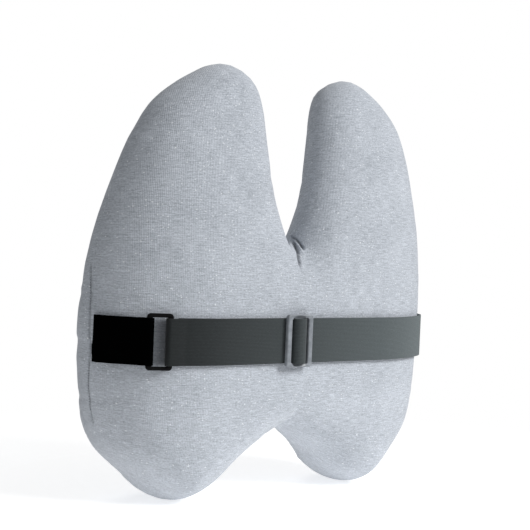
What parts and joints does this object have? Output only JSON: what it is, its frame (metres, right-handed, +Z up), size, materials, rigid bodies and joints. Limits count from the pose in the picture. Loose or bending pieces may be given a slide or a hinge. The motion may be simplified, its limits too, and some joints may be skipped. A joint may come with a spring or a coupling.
{
  "type": "lumbar support cushion",
  "caption": "Butterfly-shaped lumbar cushion in a knit cover with a side zip, and an elastic webbing strap with a ring and tri-glide that holds it to a chair back.",
  "frame": {"origin": "on the flat of the back, in the middle, where the cushion rests against the chair that holds it up", "axes": "+Z up towards the wing tips, -Y towards the chair back (strap side), +Y towards the sitter, +X to the right seen from the strap side"},
  "size_m": [0.3816, 0.1226, 0.3916],
  "materials": {
    "cover_knit": "heather grey knit",
    "liner_cloth": "thin white inner cloth",
    "foam": "open-cell memory foam",
    "patch_cloth": "stiff non-woven reinforcement",
    "webbing": "ribbed black elastic webbing",
    "ring_plastic": "moulded black acetal",
    "slider_plastic": "satin moulded grey-black acetal",
    "zip_tape": "woven zip tape",
    "zip_coil": "nylon coil",
    "zip_metal": "plated zip metal"
  },
  "bodies": {
    "cushion": {"foam_core": "foam", "liner_back": "liner_cloth", "liner_front": "liner_cloth", "patch_left": "patch_cloth", "patch_right": "patch_cloth", "cover_back": "cover_knit", "cover_front": "cover_knit", "strap_tab": "webbing", "strap_run": "webbing", "zip_tape_back": "zip_tape", "zip_tape_front": "zip_tape", "zip_coil_back": "zip_coil", "zip_coil_front": "zip_coil", "zip_stop_low": "zip_metal", "zip_stop_high": "zip_metal"},
    "strap": {"strap_ring": "ring_plastic", "strap_band": "webbing", "strap_return": "webbing"},
    "slider": {"strap_slider": "slider_plastic", "strap_wrap": "webbing"},
    "zip_runner": {"zip_slider": "zip_metal"},
    "zip_tab": {"zip_pull": "zip_metal"}
  },
  "joints": [
    {"name": "strap_stretch", "type": "slide", "parent": "cushion", "child": "strap", "axis": [0, -1, 0], "range_m": [0, 0.06], "stiffness_N_per_m": 250, "deforming": ["strap_tab", "strap_run"]},
    {"name": "strap_adjust", "type": "slide", "parent": "strap", "child": "slider", "axis": [1, 0, 0], "range_m": [-0.05, 0.06], "deforming": ["strap_return"]},
    {"name": "zip_run", "type": "hinge", "parent": "cushion", "child": "zip_runner", "pos_m": [-0.16374, 0.08717, 0.05176], "axis": [-0.0032, -0.9937, -0.1123], "range_deg": [0, 28.7]},
    {"name": "zip_pull_turn", "type": "hinge", "parent": "zip_runner", "child": "zip_tab", "pos_m": [0.17717, 0.09765, -0.02981], "axis": [0.5935, -0.7676, -0.2421], "range_deg": [0, 165]}
  ]
}
